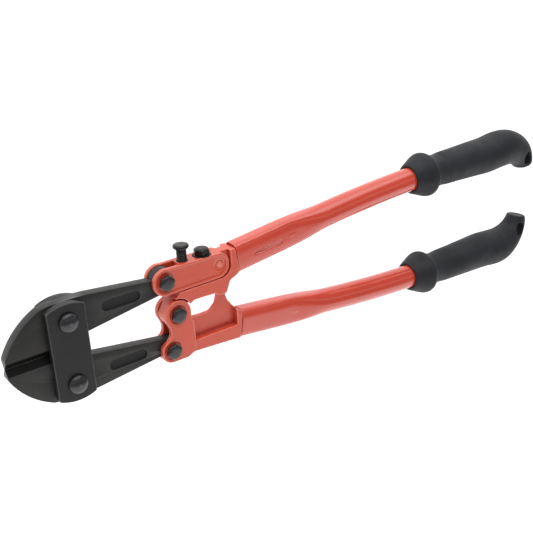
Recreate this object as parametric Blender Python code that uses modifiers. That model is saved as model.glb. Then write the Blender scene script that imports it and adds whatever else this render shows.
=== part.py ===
"""Bolt cutters, 450 mm long: forged jaws in a strap link, two cast handle heads, tube handles, rubber grips.

The tool lies flat. In the tool's own axes x runs from the jaw bolts towards the grips, y towards the
handle that carries the adjuster, and z is up out of the flat side, all in millimetres from the point
midway between the two jaw bolts. The root empty puts that frame where the world needs it.
"""
import math

import bmesh
import bpy
from mathutils import Matrix, Vector

MM = 0.001

# Overall layout
JAW_TIP_X = -39.0
GRIP_END_X = 411.0
GRIP_RIM_RADIUS = 16.5
ORIGIN_X = (JAW_TIP_X + GRIP_END_X) / 2
GAP = 0.3

# Pivots of the linkage (the lower ones mirror the upper ones)
JAW_PIVOT = (0.0, 20.7)
REAR_PIVOT = (67.1, 24.0)
CENTRE_PIVOT = (73.0, 0.0)
SADDLE_PIVOT = (106.7, 24.6)

# Thickness levels, measured from the mid plane
JAW_HALF = 3.4
CORE_HALF = 3.3
STRAP_IN = 3.7
STRAP_OUT = 8.7
EAR_IN = 3.7
EAR_OUT = 6.9
SADDLE_OUT = 6.4
WEB_HALF = 1.8
FLOOR_DEPTH = GRIP_RIM_RADIUS

# Bolts
JAW_SHANK = 4.0
REAR_SHANK = 2.8
JAW_HEAD_RADIUS = 6.1
REAR_HEAD_AF = 9.6
REAR_HEAD_HEIGHT = 2.8
REAR_NUT_HEIGHT = 3.0
JAW_NUT_AF = 12.0

# The upper jaw's tail floats on its bolt by the error of the linear couplings
TAIL_FLOAT = 3.1
TAIL_RADIUS = 8.3

# Adjuster
SADDLE_TOP = 32.7
WEB_THICKNESS = 3.2
SCREW_X = 83.0
LOCK_X = 97.5
LOCK_RECESS = 1.3
WEB_END_X = 104.5

# Handle tubes
TUBE_RADIUS = 8.8
TUBE_WALL = 1.3
FLAT_HALF_HEIGHT = 10.1
FLAT_HALF_DEPTH = 6.7
SEAM_X = 120.6
SPIGOT_LENGTH = 28.0

# Grips: the lower hook is bent back a little further than the upper one
HOOK_MIDDLE_X = 396.0
LOWER_HOOK_SHORTFALL = 3.0

ARC_STEP = math.radians(14)
TURN_STEPS = 24

PAINT = ("paint", (0.62, 0.07, 0.035), 0.38, 0.0)
STEEL = ("blacked_steel", (0.045, 0.043, 0.042), 0.45, 0.8)
FASTENER = ("fastener", (0.03, 0.032, 0.034), 0.4, 0.7)
RUBBER = ("rubber", (0.03, 0.031, 0.034), 0.75, 0.0)


# ---------------------------------------------------------------- scene and materials

def clear_scene():
    for item in list(bpy.data.objects):
        bpy.data.objects.remove(item, do_unlink=True)


def new_collection(name):
    group = bpy.data.collections.new(name)
    bpy.context.scene.collection.children.link(group)
    return group


def make_material(node, look):
    finish, colour, roughness, metallic = look
    material = bpy.data.materials.new(f"{node}_{finish}")
    material.use_nodes = True
    shader = material.node_tree.nodes["Principled BSDF"]
    shader.inputs["Base Color"].default_value = (*colour, 1.0)
    shader.inputs["Roughness"].default_value = roughness
    shader.inputs["Metallic"].default_value = metallic
    return material


def link_mesh(name, mesh, cutter=False):
    piece = bpy.data.objects.new(name, mesh)
    if cutter:
        CUTTERS.objects.link(piece)
        piece.hide_render = True
        piece.display_type = "WIRE"
    else:
        PARTS.objects.link(piece)
    piece.parent = FRAME
    return piece


def add_empty(name, location, parent=None):
    empty = bpy.data.objects.new(name, None)
    empty.empty_display_size = 0.01
    empty.location = location
    empty.parent = parent
    PARTS.objects.link(empty)
    return empty


def finish(piece, pivot, look):
    """Give a piece its material and hang it on the empty that stands on its joint's axis."""
    piece.data.materials.clear()
    piece.data.materials.append(make_material(piece.name, look))
    piece.parent = pivot
    if piece.location.length == 0:
        piece.data.transform(Matrix.Translation(-pivot.location))
    else:
        piece.location -= pivot.location
    return piece


# ---------------------------------------------------------------- outlines

def arc_points(centre, radius, start, end):
    """Points on an arc, angles in degrees."""
    sweep = math.radians(end - start)
    count = max(2, math.ceil(abs(sweep) / ARC_STEP))
    points = []
    for i in range(count + 1):
        angle = math.radians(start) + sweep * i / count
        points.append((centre[0] + radius * math.cos(angle), centre[1] + radius * math.sin(angle)))
    return points


def rounded(corners):
    """Outline through corners (x, y) or (x, y, radius), each radius a tangent arc."""
    points = []
    count = len(corners)
    for i, corner in enumerate(corners):
        here = Vector(corner[:2])
        if len(corner) == 2:
            points.append(tuple(here))
            continue
        before = (Vector(corners[i - 1][:2]) - here).normalized()
        after = (Vector(corners[(i + 1) % count][:2]) - here).normalized()
        half = before.angle(after) / 2
        reach = corner[2] / math.tan(half)
        centre = here + (before + after).normalized() * (corner[2] / math.sin(half))
        first = here + before * reach - centre
        last = here + after * reach - centre
        turn = first.angle_signed(last) * -1
        steps = max(1, math.ceil(abs(turn) / ARC_STEP))
        for k in range(steps + 1):
            spun = Matrix.Rotation(turn * k / steps, 2) @ first
            points.append(tuple(centre + spun))
    return points


def circle(centre, radius):
    return arc_points(centre, radius, 0, 360)[:-1]


def flipped(points, side):
    """Mirror an outline to the lower half of the tool when side is -1."""
    return [(p[0], p[1] * side) + tuple(p[2:]) for p in points]


# ---------------------------------------------------------------- solids

def plate(name, loops, low, high, cutter=False):
    """Flat outline (first loop) with holes (other loops) from z = low to z = high."""
    curve = bpy.data.curves.new(name, "CURVE")
    curve.dimensions = "2D"
    curve.fill_mode = "BOTH"
    curve.extrude = (high - low) / 2 * MM
    for loop in loops:
        spline = curve.splines.new("POLY")
        spline.points.add(len(loop) - 1)
        spline.use_cyclic_u = True
        for point, (x, y) in zip(spline.points, loop):
            point.co = (x * MM, y * MM, 0.0, 1.0)
    draft = bpy.data.objects.new(name + "_outline", curve)
    bpy.context.scene.collection.objects.link(draft)
    draft.location.z = (high + low) / 2 * MM
    bpy.context.view_layer.update()
    graph = bpy.context.evaluated_depsgraph_get()
    mesh = bpy.data.meshes.new_from_object(draft.evaluated_get(graph))
    mesh.transform(draft.matrix_world)
    bpy.data.objects.remove(draft, do_unlink=True)
    bpy.data.curves.remove(curve)
    weld(mesh)
    return link_mesh(name, mesh, cutter)


def weld(mesh):
    work = bmesh.new()
    work.from_mesh(mesh)
    bmesh.ops.remove_doubles(work, verts=work.verts, dist=0.002 * MM)
    bmesh.ops.recalc_face_normals(work, faces=work.faces)
    work.to_mesh(mesh)
    work.free()


def side_plates(name, loops, inner, outer):
    """The same flat cutter on the front and on the back of the tool."""
    front = plate(name + "_front", loops, inner, outer, cutter=True)
    back = plate(name + "_back", loops, -outer, -inner, cutter=True)
    return [front, back]


def turned(name, profile, centre, axis="Z", cutter=False, steps=TURN_STEPS):
    """Solid of revolution; profile is (radius, height) down the outer side from top to bottom.

    A profile that starts off the axis is a ring's section and is closed.
    """
    mesh = bpy.data.meshes.new(name)
    points = [(radius * MM, 0.0, height * MM) for radius, height in profile]
    edges = [(i, i + 1) for i in range(len(points) - 1)]
    if profile[0][0] > 0:
        edges.append((len(points) - 1, 0))
    mesh.from_pydata(points, edges, [])
    piece = link_mesh(name, mesh, cutter)
    piece.location = Vector(centre) * MM
    if axis == "Y":
        piece.rotation_euler = (-math.pi / 2, 0.0, 0.0)
    screw = piece.modifiers.new("turn", "SCREW")
    screw.steps = steps
    screw.render_steps = steps
    screw.use_merge_vertices = True
    screw.merge_threshold = 0.000001
    screw.use_smooth_shade = True
    return piece


def loft(name, rings, closed_ring=True):
    """Skin through rings of equal point count; the last ring joins the first when closed_ring is set."""
    work = bmesh.new()
    rows = [[work.verts.new(Vector(p) * MM) for p in ring] for ring in rings]
    pairs = list(zip(rows, rows[1:]))
    if closed_ring:
        pairs.append((rows[-1], rows[0]))
    for near, far in pairs:
        for i in range(len(near)):
            j = (i + 1) % len(near)
            work.faces.new((near[i], near[j], far[j], far[i]))
    if not closed_ring:
        work.faces.new(reversed(rows[0]))
        work.faces.new(rows[-1])
    bmesh.ops.recalc_face_normals(work, faces=work.faces)
    mesh = bpy.data.meshes.new(name)
    work.to_mesh(mesh)
    work.free()
    mesh.shade_smooth()
    mesh.set_sharp_from_angle(angle=math.radians(40))
    return link_mesh(name, mesh)


def bevel(piece, width, segments=1, angle=40):
    edge = piece.modifiers.new("edges", "BEVEL")
    edge.width = width * MM
    edge.segments = segments
    edge.limit_method = "ANGLE"
    edge.angle_limit = math.radians(angle)
    edge.use_clamp_overlap = True


def boolean(piece, tools, operation="DIFFERENCE"):
    for tool in tools:
        step = piece.modifiers.new(tool.name, "BOOLEAN")
        step.operation = operation
        step.solver = "EXACT"
        step.object = tool


def hexagon(across_flats, centre=(0.0, 0.0), turn=0.0):
    corner = across_flats / 2 / math.cos(math.radians(30))
    return [
        (
            centre[0] + corner * math.cos(math.radians(60 * i + turn)),
            centre[1] + corner * math.sin(math.radians(60 * i + turn)),
        )
        for i in range(6)
    ]


# ---------------------------------------------------------------- jaws and straps

def jaw_outline(side):
    head_centre = (7.6, -15.5)
    tail_top = (59.3, 26.7)
    tail_bottom = (65.0, 15.8)
    points = [(JAW_TIP_X, GAP / 2)]
    points += arc_points(head_centre, 51.3, 155, 115)
    points += [(-8.0, 32.0), (6.0, 32.2), (15.0, 31.8), tail_top]
    points += arc_points(REAR_PIVOT, TAIL_RADIUS, 152, -96)
    points += [tail_bottom, (13.8, 8.1), (-5.0, GAP / 2)]
    return flipped(points, side)


def make_jaw(name, side, tail_bore):
    """Forged jaw: blade with a ground V on both faces, bolt eye, arm with a name-plate recess, tail eye."""
    pivot = (JAW_PIVOT[0], JAW_PIVOT[1] * side)
    tail = (REAR_PIVOT[0], REAR_PIVOT[1] * side)
    loops = [jaw_outline(side), circle(pivot, JAW_SHANK + GAP), circle(tail, tail_bore)]
    jaw = plate(name, loops, -JAW_HALF, JAW_HALF)
    recess_half = 3.6
    recess_row = 20.4 * side
    recess = arc_points((46.4, recess_row), recess_half, -90, 90)
    recess += arc_points((27.6, recess_row), recess_half, 90, 270)
    cutters = side_plates(name + "_recess", [recess], JAW_HALF - 0.9, JAW_HALF + 1)
    cutters += blade_grinders(name, side)
    boolean(jaw, cutters)
    return jaw


def blade_grinders(name, side):
    """Two wedges that leave a V from the cutting edge up to both faces."""
    edge_y = GAP / 2
    edge_z = 0.4
    lip_y = 4.4
    slope = (JAW_HALF - edge_z) / (lip_y - edge_y)
    start = edge_y - 1.2
    stop = 6.5
    low = edge_z + (start - edge_y) * slope
    high = edge_z + (stop - edge_y) * slope
    length = 32.0
    tools = []
    for label, face in (("front", 1), ("back", -1)):
        section = [(start * side, low * face), (stop * side, high * face), (start * side, high * face)]
        grinder = plate(f"{name}_grind_{label}", [section], JAW_TIP_X - 3, JAW_TIP_X - 3 + length, cutter=True)
        along_x = Matrix(((0, 0, 1), (1, 0, 0), (0, 1, 0))).to_4x4()
        grinder.data.transform(along_x)
        tools.append(grinder)
    return tools


def make_strap(name, low, high):
    """Link plate with domed ends, one bore for each jaw bolt."""
    left, right = -12.8, 11.7
    end_centre = 5.4
    end_radius = 27.0
    start = math.degrees(math.acos(right / end_radius))
    stop = math.degrees(math.acos(left / end_radius))
    top = arc_points((0.0, end_centre), end_radius, start, stop)
    bottom = [(x, -y) for x, y in reversed(top)]
    loops = [top + bottom]
    for side in (1, -1):
        loops.append(circle((JAW_PIVOT[0], JAW_PIVOT[1] * side), JAW_SHANK + GAP))
    strap = plate(name, loops[:1], low, high)
    bevel(strap, 0.8)
    bores = []
    for label, hole in zip(("upper", "lower"), loops[1:]):
        bores.append(plate(f"{name}_bore_{label}", [hole], low - 1, high + 1, cutter=True))
    boolean(strap, bores)
    return strap


# ---------------------------------------------------------------- fasteners

def domed_bolt(name, centre):
    """Button-head jaw bolt: the shank runs through straps, jaw and nut and ends at the floor."""
    head_base = STRAP_OUT + GAP
    dome_height = 4.0
    profile = [(0.0, head_base + dome_height)]
    for degrees in (25, 45, 62, 78, 90):
        lift = math.cos(math.radians(degrees))
        spread = math.sin(math.radians(degrees))
        profile.append((JAW_HEAD_RADIUS * spread, head_base + 0.6 + (dome_height - 0.6) * lift))
    profile += [
        (JAW_HEAD_RADIUS, head_base),
        (JAW_SHANK, head_base),
        (JAW_SHANK, -FLOOR_DEPTH + 0.8),
        (JAW_SHANK - 0.8, -FLOOR_DEPTH),
        (0.0, -FLOOR_DEPTH),
    ]
    return turned(name, profile, (*centre, 0.0))


def hex_bolt(name, centre, across_flats, base, height, shank, end):
    """Hexagon head with a chamfered top, joined to its turned shank."""
    head = plate(name, [hexagon(across_flats, centre, 12)], base, base + height)
    corner = across_flats / 2 / math.cos(math.radians(30))
    chamfer_profile = [
        (0.0, base + height + 0.05),
        (across_flats / 2 - 0.5, base + height + 0.05),
        (corner + 0.4, base + height - 1.2),
        (corner + 0.4, base - 1),
        (0.0, base - 1),
    ]
    chamfer = turned(name + "_chamfer", chamfer_profile, (*centre, 0.0), cutter=True)
    boolean(head, [chamfer], "INTERSECT")
    shank_profile = [(0.0, base + 1), (shank, base + 1), (shank, end + 0.6), (shank - 0.6, end), (0.0, end)]
    rod = turned(name + "_rod", shank_profile, (*centre, 0.0), cutter=True)
    boolean(head, [rod], "UNION")
    return head


def hex_nut(name, centre, across_flats, bore, top, height):
    loops = [hexagon(across_flats, centre, 18), circle(centre, bore)]
    return plate(name, loops, top - height, top)


# ---------------------------------------------------------------- handle heads

def tube_line(x):
    """Centre line of the upper handle: straight from the seam, easing parallel to the tool at the grip."""
    slope = 0.119
    start = (SEAM_X, 23.7)
    bend_start = 196.0
    bend_length = 128.0
    if x <= bend_start:
        return start[1] + slope * (x - start[0])
    travelled = min(x - bend_start, bend_length)
    return start[1] + slope * (bend_start - start[0] + travelled - travelled ** 2 / (2 * bend_length))


def spigot(name, side):
    """Tongue of the casting that the tube is pressed over, slim enough for the tube's rounded corners."""
    half = FLAT_HALF_HEIGHT - TUBE_WALL - 2.2
    ends = (SEAM_X - 3.0, SEAM_X + SPIGOT_LENGTH)
    top = [(x, tube_line(x) + half) for x in ends]
    bottom = [(x, tube_line(x) - half) for x in reversed(ends)]
    depth = FLAT_HALF_DEPTH - TUBE_WALL - 0.9
    return plate(name, [flipped(bottom + top, side)], -depth, depth, cutter=True)


def make_upper_casting():
    """Casting under the saddle: centre eye, neck, core between the saddle's walls, rim, stop lug, collar."""
    core_top = SADDLE_TOP - WEB_THICKNESS - 0.9
    rear_top = 32.2
    web_front = 79.3
    rear_slant = 1.3
    eye_radius = 9.0
    corners = [
        (web_front + 1.5, core_top, 1.5),
        (WEB_END_X + 0.4, core_top),
        (WEB_END_X + 0.4, rear_top, 0.5),
        (SEAM_X - GAP - rear_slant, rear_top),
        (SEAM_X - GAP + rear_slant, 14.6),
        (113.4, 11.4, 3),
        (110.6, 4.2, 1.2),
        (108.6, 3.1, 0.8),
        (104.0, 3.4, 0.8),
        (101.2, 5.8, 2),
        (85.5, 6.2, 3),
        (81.2, 3.2, 1.5),
    ]
    eye = arc_points(CENTRE_PIVOT, eye_radius, -6, -190)
    neck = [(68.2, 8.4, 2), (74.6, 12.4, 3)]
    front = [(78.9, 20.0), (79.2, 25.0)]
    outline = rounded(corners + [(x, y) for x, y in eye] + neck + front)
    bores = [circle(CENTRE_PIVOT, REAR_SHANK + GAP), circle(SADDLE_PIVOT, 2.8)]
    casting = plate("upper_casting", [outline] + bores, -FLAT_HALF_DEPTH, FLAT_HALF_DEPTH)
    bevel(casting, 0.7)
    saddle_room = rounded([(50.0, 14.5), (115.2, 14.5, 8), (115.2, 45.0), (50.0, 45.0)])
    cutters = side_plates("upper_casting_saddle_room", [saddle_room], CORE_HALF, 12)
    cutters += side_plates("upper_casting_ear_room", [circle(CENTRE_PIVOT, 10.6)], CORE_HALF, 12)
    cutters.append(bored("upper_casting_lock_bore", (LOCK_X, core_top, 0.0), 3.1, 14.0))
    boolean(casting, cutters)
    boolean(casting, [spigot("upper_casting_spigot", 1)], "UNION")
    return casting


def bored(name, mouth, radius, depth):
    """Cutter for a blind hole that opens upwards along +y at mouth."""
    profile = [(0.0, 1.0), (radius, 1.0), (radius, -depth), (0.0, -depth)]
    return turned(name, profile, mouth, axis="Y", cutter=True)


def counterbored(name, mouth, wide, step, radius, depth):
    """Cutter for a stepped hole that opens upwards along +y at mouth."""
    profile = [(0.0, 1.0), (wide, 1.0), (wide, -step), (radius, -step), (radius, -depth), (0.0, -depth)]
    return turned(name, profile, mouth, axis="Y", cutter=True)


def make_lower_casting():
    """Casting of the lower handle: two ears at the centre, two at the jaw's tail, thin web, beam, lug, collar."""
    centre_radius = 9.5
    tail_radius = 8.3
    rear_slant = 1.3
    ear_end_x = 84.2
    wall_x = 117.0
    beam_top = -22.5
    beam_out = 6.5
    lower_pivot = (REAR_PIVOT[0], -REAR_PIVOT[1])
    corners = [
        (83.0, -8.0, 2),
        (93.0, -8.7),
        (99.6, -8.6, 4),
        (104.4, -4.2, 3),
        (106.2, 3.0, 1.2),
        (111.0, 2.6, 1.2),
        (112.8, -3.8, 2),
        (117.4, -10.6, 3),
        (SEAM_X - GAP + rear_slant, -14.2),
        (SEAM_X - GAP - rear_slant, -32.8),
        (82.0, -30.3, 1),
        (77.6, -32.4, 2),
    ]
    tail_ear = arc_points(lower_pivot, tail_radius, -95, -215)
    neck = [(66.6, -14.8, 6), (66.8, -9.6, 3)]
    centre_ear = arc_points(CENTRE_PIVOT, centre_radius, -145, -370)
    outline = rounded(corners + tail_ear + neck + centre_ear)
    casting = plate("lower_casting", [outline], -EAR_OUT, EAR_OUT)
    bevel(casting, 0.7)
    pocket = rounded([
        (ear_end_x, 16.0), (ear_end_x, beam_top, 1.5), (wall_x, beam_top, 1.5), (wall_x, 16.0),
    ])
    cutters = side_plates("lower_casting_pocket", [pocket], WEB_HALF, 12)
    behind_ears = [(ear_end_x - 0.4, 20.0), (ear_end_x - 0.4, -50.0), (140.0, -50.0), (140.0, 20.0)]
    cutters += side_plates("lower_casting_beam_face", [behind_ears], beam_out, 13)
    slot_block = [(50.0, -45.0), (76.8, -45.0), (76.8, 15.0), (50.0, 15.0)]
    cutters += [
        plate("lower_casting_slot", [slot_block], -EAR_IN, EAR_IN, cutter=True),
        plate("lower_casting_eye_room", [circle(CENTRE_PIVOT, 10.0)], -EAR_IN + 0.01, EAR_IN - 0.01, cutter=True),
        plate("lower_casting_tail_room", [circle(lower_pivot, 9.6)], -EAR_IN + 0.02, EAR_IN - 0.02, cutter=True),
    ]
    for label, centre in (("centre", CENTRE_PIVOT), ("tail", lower_pivot)):
        bore = [circle(centre, REAR_SHANK + GAP)]
        cutters.append(plate(f"lower_casting_bore_{label}", bore, -12, 12, cutter=True))
    boolean(casting, cutters)
    boolean(casting, [spigot("lower_casting_spigot", -1)], "UNION")
    return casting


# ---------------------------------------------------------------- adjuster

def make_saddle():
    """Fork that straddles the upper casting: two walls with ears, joined by a web that carries the screws."""
    ear_radius = 9.0
    back = 113.6
    bottom = REAR_PIVOT[1] - ear_radius + 0.4
    corners = [(back, bottom, 8), (back, SADDLE_TOP - 0.4, 7), (REAR_PIVOT[0] + 3, SADDLE_TOP)]
    ear = arc_points(REAR_PIVOT, ear_radius, 84, 262)
    outline = rounded(corners + ear)
    saddle = plate("adjuster_saddle", [outline], -SADDLE_OUT, SADDLE_OUT)
    bevel(saddle, 0.6)
    web_front = 78.6
    web_low = SADDLE_TOP - WEB_THICKNESS
    below_web = [(50.0, 0.0), (130.0, 0.0), (130.0, web_low), (50.0, web_low)]
    ahead_of_web = [(50.0, -1.0), (web_front, -1.0), (web_front, 50.0), (50.0, 50.0)]
    behind_web = [(WEB_END_X, -2.0), (131.0, -2.0), (131.0, 51.0), (WEB_END_X, 51.0)]
    cutters = [
        plate("saddle_core_room", [below_web], -EAR_IN, EAR_IN, cutter=True),
        plate("saddle_tail_room", [ahead_of_web], -EAR_IN + 0.01, EAR_IN - 0.01, cutter=True),
        plate("saddle_rear_room", [behind_web], -EAR_IN + 0.02, EAR_IN - 0.02, cutter=True),
        plate("saddle_tail_bore", [circle(REAR_PIVOT, REAR_SHANK + GAP)], -12, 12, cutter=True),
        plate("saddle_rivet_bore", [circle(SADDLE_PIVOT, 2.8)], -12, 12, cutter=True),
        bored("saddle_screw_bore", (SCREW_X, SADDLE_TOP, 0.0), 3.4 + GAP, 6),
        counterbored("saddle_lock_bore", (LOCK_X, SADDLE_TOP, 0.0), 6.2, LOCK_RECESS, 3.6, 6),
    ]
    boolean(saddle, cutters)
    return saddle


def make_rivet():
    half = SADDLE_OUT - 0.1
    radius = 2.5
    profile = [(0.0, half), (radius, half), (radius, -half), (0.0, -half)]
    return turned("saddle_rivet", profile, (*SADDLE_PIVOT, 0.0), steps=16)


def make_adjusting_screw():
    """Flat round head on a threaded shank that stands out of the web and ends above the casting's core."""
    head_radius = 5.2
    head_height = 2.6
    head_top = 43.6 - SADDLE_TOP
    shank = 3.4
    tip = -WEB_THICKNESS - 0.1
    profile = [
        (0.0, head_top),
        (head_radius - 0.6, head_top),
        (head_radius, head_top - 0.5),
        (head_radius, head_top - head_height),
        (shank, head_top - head_height),
        (shank, tip),
        (0.0, tip),
    ]
    return turned("adjusting_screw", profile, (SCREW_X, SADDLE_TOP, 0.0), axis="Y")


def make_lock_bolt():
    """Flanged hexagon bolt that clamps the web to the casting; its shank ends inside the core."""
    floor = SADDLE_TOP - LOCK_RECESS
    washer_top = floor + 1.2
    base = washer_top + GAP
    across = 9.4
    corner = across / 2 / math.cos(math.radians(30))
    head = plate("lock_bolt", [hexagon(across, (0.0, 0.0), 10)], 0.0, 4.2)
    head.data.transform(Matrix.Rotation(-math.pi / 2, 4, "X"))
    head.location = Vector((LOCK_X, base, 0.0)) * MM
    chamfer_profile = [(0.0, 4.25), (across / 2 - 0.4, 4.25), (corner + 0.3, 3.2), (corner + 0.3, -1), (0.0, -1)]
    chamfer = turned("lock_bolt_chamfer", chamfer_profile, (LOCK_X, base, 0.0), axis="Y", cutter=True)
    boolean(head, [chamfer], "INTERSECT")
    shank_end = -15.0
    rod_profile = [(0.0, 1.0), (2.8, 1.0), (2.8, shank_end), (0.0, shank_end)]
    rod = turned("lock_bolt_rod", rod_profile, (LOCK_X, base, 0.0), axis="Y", cutter=True)
    boolean(head, [rod], "UNION")
    return head


def make_lock_washer():
    floor = SADDLE_TOP - LOCK_RECESS
    profile = [(3.1, 1.2), (5.9, 1.2), (5.9, GAP), (3.1, GAP)]
    return turned("lock_washer", profile, (LOCK_X, floor, 0.0), axis="Y")


# ---------------------------------------------------------------- tubes and grips

def section_ring(x, half_height, half_depth, roundness, side, count=24):
    """Ring across the handle at x: a superellipse, from round (2) to a soft-cornered flat (4)."""
    tilt = (tube_line(x + 0.5) - tube_line(x - 0.5))
    scale = math.sqrt(1 + tilt ** 2)
    ring = []
    for i in range(count):
        angle = 2 * math.pi * i / count
        c, s = math.cos(angle), math.sin(angle)
        up = half_height * math.copysign(abs(c) ** (2 / roundness), c)
        out = half_depth * math.copysign(abs(s) ** (2 / roundness), s)
        ring.append((x - up * tilt / scale, (tube_line(x) + up / scale) * side, out))
    return ring


def tube_section(x):
    """Half height, half depth and roundness of the tube along its length."""
    flat_end, round_start = 160.0, 196.0
    share = min(max((x - flat_end) / (round_start - flat_end), 0.0), 1.0)
    blend = share * share * (3 - 2 * share)
    height = FLAT_HALF_HEIGHT + (TUBE_RADIUS - FLAT_HALF_HEIGHT) * blend
    depth = FLAT_HALF_DEPTH + (TUBE_RADIUS - FLAT_HALF_DEPTH) * blend
    return height, depth, 4.0 - 2.0 * blend


TUBE_STATIONS = (SEAM_X, 140, 160, 168, 178, 188, 196, 215, 235, 255, 275, 300, 330, 360, 392)


def make_tube(name, side):
    outer, inner = [], []
    for x in TUBE_STATIONS:
        height, depth, roundness = tube_section(x)
        outer.append(section_ring(x, height, depth, roundness, side))
        inner.append(section_ring(x, height - TUBE_WALL, depth - TUBE_WALL, roundness, side))
    return loft(name, outer + inner[::-1])


def grip_spine(shortfall):
    """(x, y, heading, half width in the tool's plane, half depth) from the collar to the hooked end.

    The hook bends back by the shortfall, in full from its middle onwards.
    """
    hook = (
        (372.0, 41.6, 0, 14.4, 14.2),
        (382.0, 41.0, -12, 14.0, 13.2),
        (390.5, 38.0, -30, 12.8, 11.8),
        (396.8, 33.8, -46, 11.4, 10.4),
        (401.05, 28.6, -62, 9.8, 9.0),
        (403.2, 23.5, -73, 8.2, 7.9),
        (403.5, 21.7, -78, 7.2, 7.2),
    )
    body = (
        (277.0, 10.8), (283.5, 13.6), (289.6, 16.2), (291.4, GRIP_RIM_RADIUS), (293.4, 16.2),
        (296.4, 13.8), (300.5, 12.4), (308.0, 12.2), (325.0, 12.9), (341.0, 13.5), (357.0, 14.1),
    )
    stations = []
    for x, radius in body:
        heading = math.degrees(math.atan(tube_line(x + 0.5) - tube_line(x - 0.5)))
        stations.append((x, tube_line(x), heading, radius, radius))
    for x, y, heading, half_width, half_depth in hook:
        share = min(max((x - hook[0][0]) / (HOOK_MIDDLE_X - hook[0][0]), 0.0), 1.0)
        stations.append((x - shortfall * share, y, heading, half_width, half_depth))
    return stations


def grip_ring(station, side, count=20):
    x, y, heading, half_width, half_depth = station
    across = Vector((-math.sin(math.radians(heading)), math.cos(math.radians(heading))))
    ring = []
    for i in range(count):
        angle = 2 * math.pi * i / count
        reach = half_width * math.cos(angle)
        ring.append((x + across.x * reach, (y + across.y * reach) * side, half_depth * math.sin(angle)))
    return ring


def make_grip(name, side):
    """Rubber grip: bored for the tube, flared guard in front, hooked end with a hanging hole."""
    shortfall = LOWER_HOOK_SHORTFALL if side < 0 else 0.0
    rings = [grip_ring(s, side) for s in grip_spine(shortfall)]
    grip = loft(name, rings, closed_ring=False)
    bore_rings = []
    for x in (270.0, 277.0, 290.0, 305.0, 330.0, 360.0, 393.0):
        reach = TUBE_RADIUS + GAP
        bore_rings.append(section_ring(x, reach, reach, 2.0, side))
    bore = loft(name + "_tube_room", bore_rings, closed_ring=False)
    as_cutter(bore)
    hole_centre = Vector((399.2 - shortfall, 30.4 * side))
    hole_radius = 3.8
    heading = -62 * side
    along = Vector((math.cos(math.radians(heading)), math.sin(math.radians(heading))))
    slot = []
    for end, start in ((1, -90), (-1, 90)):
        middle = hole_centre + along * 1.9 * end
        slot += arc_points(tuple(middle), hole_radius, start + heading, start + 180 + heading)
    hole = plate(name + "_hanging_hole", [slot], -20, 20, cutter=True)
    boolean(grip, [bore, hole])
    return grip


def as_cutter(piece):
    PARTS.objects.unlink(piece)
    CUTTERS.objects.link(piece)
    piece.hide_render = True
    piece.display_type = "WIRE"


# ---------------------------------------------------------------- assembly

clear_scene()
PARTS = new_collection("bolt_cutters")
CUTTERS = new_collection("cutters")
FRAME = add_empty("tool_frame", Vector((-ORIGIN_X, 0.0, FLOOR_DEPTH)) * MM)


def pivot_empty(name, point):
    return add_empty(name, Vector((point[0], point[1], 0.0)) * MM, FRAME)


def build():
    lower_rear = (REAR_PIVOT[0], -REAR_PIVOT[1])
    lower_jaw_bolt = (JAW_PIVOT[0], -JAW_PIVOT[1])
    lower_handle = pivot_empty("lower_handle", CENTRE_PIVOT)
    upper_handle = pivot_empty("upper_handle", CENTRE_PIVOT)
    adjuster = pivot_empty("adjuster", SADDLE_PIVOT)
    tail_pivot = pivot_empty("lower_jaw_body", lower_rear)
    strap_pivot = pivot_empty("strap_body", lower_jaw_bolt)
    blade_pivot = pivot_empty("upper_jaw_body", JAW_PIVOT)
    screw_pivot = pivot_empty("screw_body", (SCREW_X, SADDLE_TOP))
    lock_pivot = pivot_empty("lock_body", (LOCK_X, SADDLE_TOP))

    finish(make_jaw("upper_jaw", 1, REAR_SHANK + TAIL_FLOAT + GAP), blade_pivot, STEEL)
    finish(make_jaw("lower_jaw", -1, REAR_SHANK + GAP), tail_pivot, STEEL)
    finish(make_strap("front_strap", STRAP_IN, STRAP_OUT), strap_pivot, STEEL)
    finish(make_strap("back_strap", -STRAP_OUT, -STRAP_IN), strap_pivot, STEEL)

    for label, centre in (("upper", JAW_PIVOT), ("lower", lower_jaw_bolt)):
        finish(domed_bolt(f"{label}_jaw_bolt", centre), strap_pivot, FASTENER)
        nut = hex_nut(f"{label}_jaw_nut", centre, JAW_NUT_AF, JAW_SHANK + GAP, -STRAP_OUT - GAP, 6.2)
        finish(nut, strap_pivot, FASTENER)

    rear = (("upper_rear", REAR_PIVOT, adjuster), ("lower_rear", lower_rear, lower_handle),
            ("centre", CENTRE_PIVOT, lower_handle))
    for label, centre, pivot in rear:
        face = SADDLE_OUT if pivot == adjuster else EAR_OUT
        nut_top = -face - GAP
        bolt = hex_bolt(f"{label}_bolt", centre, REAR_HEAD_AF, face + GAP, REAR_HEAD_HEIGHT, REAR_SHANK,
                        nut_top - REAR_NUT_HEIGHT - 0.6)
        finish(bolt, pivot, FASTENER)
        nut = hex_nut(f"{label}_nut", centre, REAR_HEAD_AF, REAR_SHANK + GAP, nut_top, REAR_NUT_HEIGHT)
        finish(nut, pivot, FASTENER)

    finish(make_upper_casting(), upper_handle, PAINT)
    finish(make_lower_casting(), lower_handle, PAINT)
    finish(make_saddle(), adjuster, PAINT)
    finish(make_rivet(), upper_handle, PAINT)
    finish(make_adjusting_screw(), screw_pivot, FASTENER)
    finish(make_lock_bolt(), lock_pivot, FASTENER)
    finish(make_lock_washer(), lock_pivot, FASTENER)

    for label, side, pivot in (("upper", 1, upper_handle), ("lower", -1, lower_handle)):
        finish(make_tube(f"{label}_tube", side), pivot, PAINT)
        finish(make_grip(f"{label}_grip", side), pivot, RUBBER)


build()
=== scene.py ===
import math

import bmesh
import bpy
import numpy as np
from mathutils import Matrix, Vector


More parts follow.
